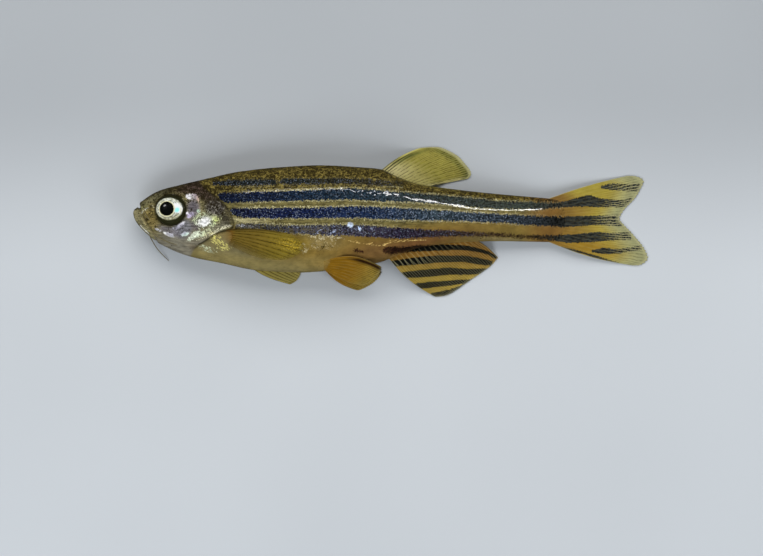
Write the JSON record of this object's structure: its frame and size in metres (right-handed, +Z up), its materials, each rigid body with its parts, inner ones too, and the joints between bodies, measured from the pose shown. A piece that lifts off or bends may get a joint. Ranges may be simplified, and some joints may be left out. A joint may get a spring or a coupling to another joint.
{
  "type": "zebra danio",
  "caption": "Life-size still model of a small striped fish, a male zebra danio, lying flat on its right flank with its fins spread and settled.",
  "frame": {"origin": "on the table under the middle of the fish's bounding box", "axes": "+X from the snout towards the tail, +Y towards the fish's back, +Z up from the table to its left flank"},
  "size_m": [0.034, 0.0099, 0.0046],
  "materials": {
    "head": "olive-brown skin with fine dark specks, wet and smooth",
    "gill_cover": "silvery, mirror-like in patches, with blue-grey shading",
    "eye": "pale silvery-yellow iris and black pupil under a clear wet cornea",
    "barbel": "soft grey-brown skin",
    "flank": "wet scaled skin with dark blue stripes between gold ones",
    "fin": "thin ochre membrane with darker bands, slightly see-through"
  },
  "bodies": {
    "root": {"head": "head", "lower_jaw": "head", "gill_cover_left": "gill_cover", "gill_cover_right": "gill_cover", "eye_left": "eye", "eye_right": "eye", "barbel_maxillary_left": "barbel", "barbel_maxillary_right": "barbel", "barbel_rostral_left": "barbel", "barbel_rostral_right": "barbel", "trunk": "flank", "tail": "flank", "tail_stalk": "flank", "dorsal_fin": "fin", "anal_fin": "fin", "caudal_fin_upper": "fin", "caudal_fin_lower": "fin", "pectoral_fin_left": "fin", "pectoral_fin_right": "fin", "pelvic_fin_left": "fin", "pelvic_fin_right": "fin"}
  },
  "joints": []
}
